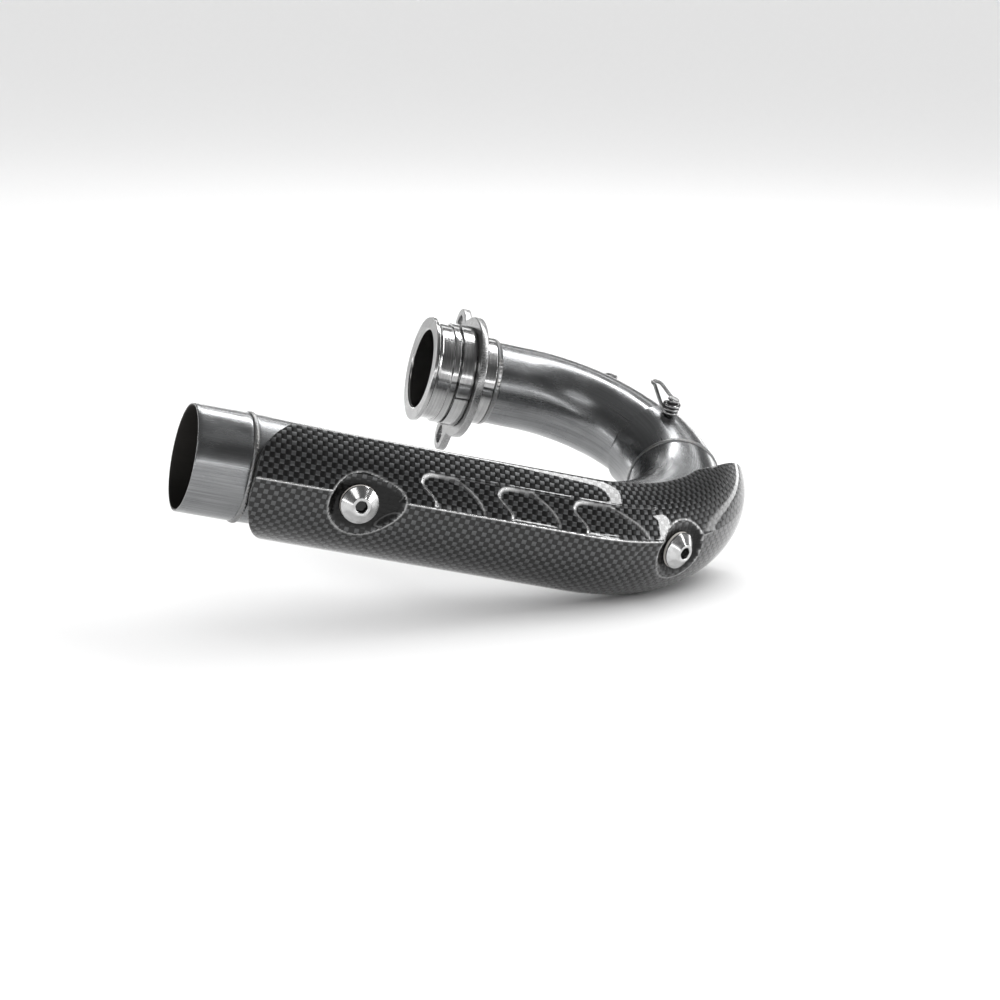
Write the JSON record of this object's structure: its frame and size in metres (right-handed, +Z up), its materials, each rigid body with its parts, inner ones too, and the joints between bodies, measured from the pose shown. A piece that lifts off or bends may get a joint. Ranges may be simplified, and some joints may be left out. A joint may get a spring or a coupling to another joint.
{
  "type": "exhaust header pipe",
  "caption": "Off-road race bike exhaust header: spigot with loose stud flange, sprung slip joint, U-bend and larger outlet pipe, with a gilled carbon heat shield.",
  "frame": {"origin": "centre of the port spigot's front face", "axes": "+X towards the outside of the U-bend, the bike's front; -Y towards the shielded leg; +Z up"},
  "size_m": [0.2703, 0.1855, 0.1082],
  "materials": {
    "pipe_steel": "drawn tube, satin brushed, darkened by heat",
    "weld_metal": "rippled weld bead",
    "machined_steel": "turned and polished",
    "flange_steel": "fine blasted plate",
    "spring_steel": "bright wire",
    "screw_metal": "turned, satin",
    "carbon_laminate": "woven carbon under clear gloss lacquer",
    "insulating_board": "pressed mineral board"
  },
  "bodies": {
    "front_header": {"port_spigot": "machined_steel", "spigot_weld_bead": "weld_metal", "front_header_tube": "pipe_steel", "front_spring_hook": "spring_steel"},
    "thrust_collar": {"collar_half_upper": "machined_steel", "collar_half_lower": "machined_steel"},
    "stud_flange": {"port_flange": "flange_steel"},
    "rear_header": {"slip_sleeve": "pipe_steel", "sleeve_weld_bead": "weld_metal", "bend_tube": "pipe_steel", "bend_weld_bead": "weld_metal", "rear_leg_tube": "pipe_steel", "cone_front_weld_bead": "weld_metal", "expansion_cone": "pipe_steel", "cone_rear_weld_bead": "weld_metal", "outlet_tube": "pipe_steel", "outlet_spring_hook": "spring_steel", "spring_post": "spring_steel", "heat_shield": "carbon_laminate", "front_shield_bung": "machined_steel", "front_bung_weld_bead": "weld_metal", "front_inner_washer": "insulating_board", "front_outer_washer": "insulating_board", "front_shield_screw": "screw_metal", "rear_shield_bung": "machined_steel", "rear_bung_weld_bead": "weld_metal", "rear_inner_washer": "insulating_board", "rear_outer_washer": "insulating_board", "rear_shield_screw": "screw_metal"},
    "joint_spring": {"retaining_spring": "spring_steel"}
  },
  "joints": [
    {"name": "collar_float", "type": "slide", "parent": "front_header", "child": "thrust_collar", "axis": [0.9715, 0, -0.2368], "range_m": [-0.0008, 0.006]},
    {"name": "flange_turn", "type": "hinge", "parent": "thrust_collar", "child": "stud_flange", "pos_m": [0, 0, 0], "axis": [0.9715, 0, -0.2368], "continuous": true},
    {"name": "slip_joint_swivel", "type": "hinge", "parent": "front_header", "child": "rear_header", "pos_m": [0.10197, -0.03963, -0.03874], "axis": [0.2541, -0.8918, -0.3744], "range_deg": [-10, 10]},
    {"name": "spring_swing", "type": "hinge", "parent": "rear_header", "child": "joint_spring", "pos_m": [0.1012, -0.03715, -0.03769], "axis": [0.2565, -0.3096, 0.9156], "range_deg": [-40, 40]}
  ]
}
